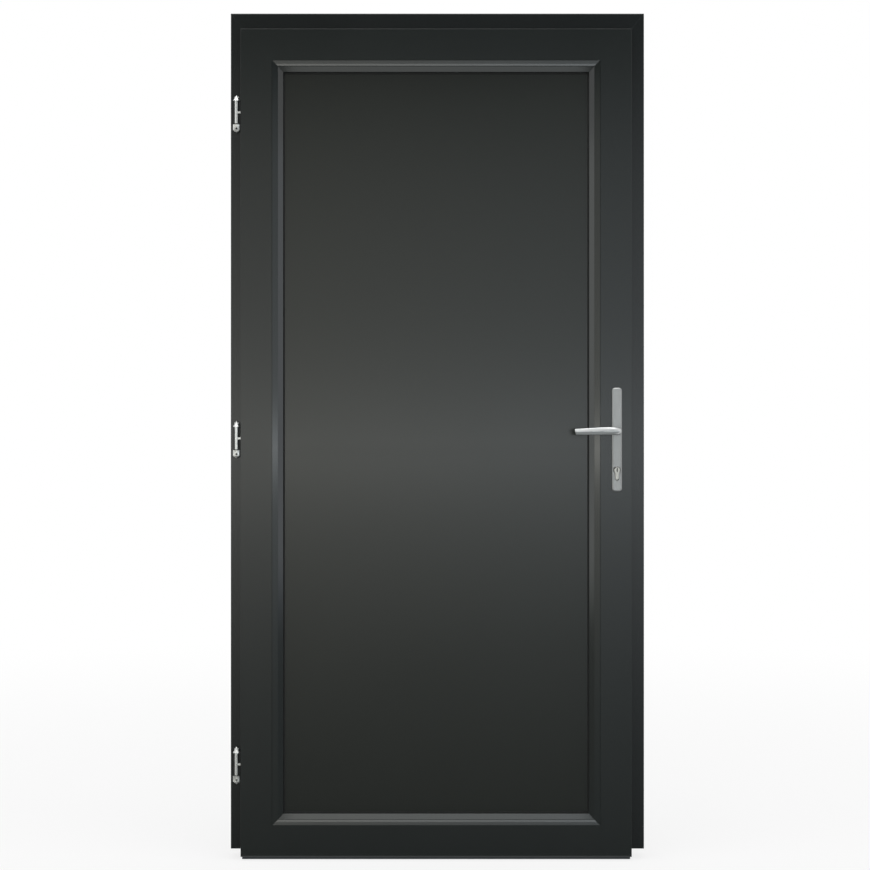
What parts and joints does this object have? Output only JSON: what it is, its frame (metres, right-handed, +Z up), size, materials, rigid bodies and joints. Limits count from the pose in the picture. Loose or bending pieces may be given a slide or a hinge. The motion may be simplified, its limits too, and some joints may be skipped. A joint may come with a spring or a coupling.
{
  "type": "front door",
  "caption": "Entrance door: a mitred frame and one side-hinged leaf with a flat recessed panel, glazing beads, pin hinges, and a lever handle on a long plate over a profile cylinder.",
  "frame": {"origin": "middle of the threshold's underside, at mid width and mid depth of the frame", "axes": "+X to the right seen from the room, from the hinges to the lock; +Y outdoors; +Z up"},
  "size_m": [0.98, 0.172, 2.005],
  "materials": {
    "frame_plastic": "smooth satin anthracite grey",
    "leaf_plastic": "smooth satin anthracite grey",
    "bead_plastic": "smooth satin anthracite grey",
    "panel_plastic": "smooth satin anthracite grey",
    "seal_rubber": "matte black",
    "threshold_aluminium": "mill satin",
    "block_plastic": "matte black",
    "hinge_base": "powder coated dark grey",
    "hinge_metal": "satin silver",
    "handle_aluminium": "satin anodised silver",
    "cylinder_brass": "satin nickel over brass",
    "lock_steel": "zinc plated"
  },
  "bodies": {
    "frame": {"frame_jamb_hinge": "frame_plastic", "frame_jamb_lock": "frame_plastic", "frame_head": "frame_plastic", "threshold": "threshold_aluminium", "threshold_block_hinge": "block_plastic", "threshold_block_lock": "block_plastic", "frame_gasket": "seal_rubber", "strike_plate": "lock_steel", "hinge_plate_top": "hinge_base", "hinge_plate_middle": "hinge_base", "hinge_plate_bottom": "hinge_base", "hinge_pin_top": "hinge_metal", "hinge_pin_middle": "hinge_metal", "hinge_pin_bottom": "hinge_metal"},
    "leaf": {"leaf_stile_hinge": "leaf_plastic", "leaf_stile_lock": "leaf_plastic", "leaf_rail_top": "leaf_plastic", "leaf_rail_bottom": "leaf_plastic", "bead_hinge": "bead_plastic", "bead_lock": "bead_plastic", "bead_top": "bead_plastic", "bead_bottom": "bead_plastic", "door_panel": "panel_plastic", "panel_gasket_inside": "seal_rubber", "panel_gasket_outside": "seal_rubber", "leaf_gasket": "seal_rubber", "lock_faceplate": "lock_steel", "latch_bolt": "lock_steel", "dead_bolt": "lock_steel", "lock_cylinder": "cylinder_brass", "handle_plate_inside": "handle_aluminium", "handle_plate_outside": "handle_aluminium", "hinge_arm_top": "hinge_metal", "hinge_arm_middle": "hinge_metal", "hinge_arm_bottom": "hinge_metal"},
    "handle": {"lever_inside": "handle_aluminium", "lever_outside": "handle_aluminium", "spindle": "lock_steel"}
  },
  "joints": [
    {"name": "door_swing", "type": "hinge", "parent": "frame", "child": "leaf", "pos_m": [-0.475, -0.047, 0.997], "axis": [0, 0, -1], "range_deg": [0, 100]},
    {"name": "handle_turn", "type": "hinge", "parent": "leaf", "child": "handle", "pos_m": [0.4235, -0.018, 1.015], "axis": [0, -1, 0], "range_deg": [0, 40], "stiffness_Nm_per_rad": 1.5, "springref_deg": -17.19}
  ]
}
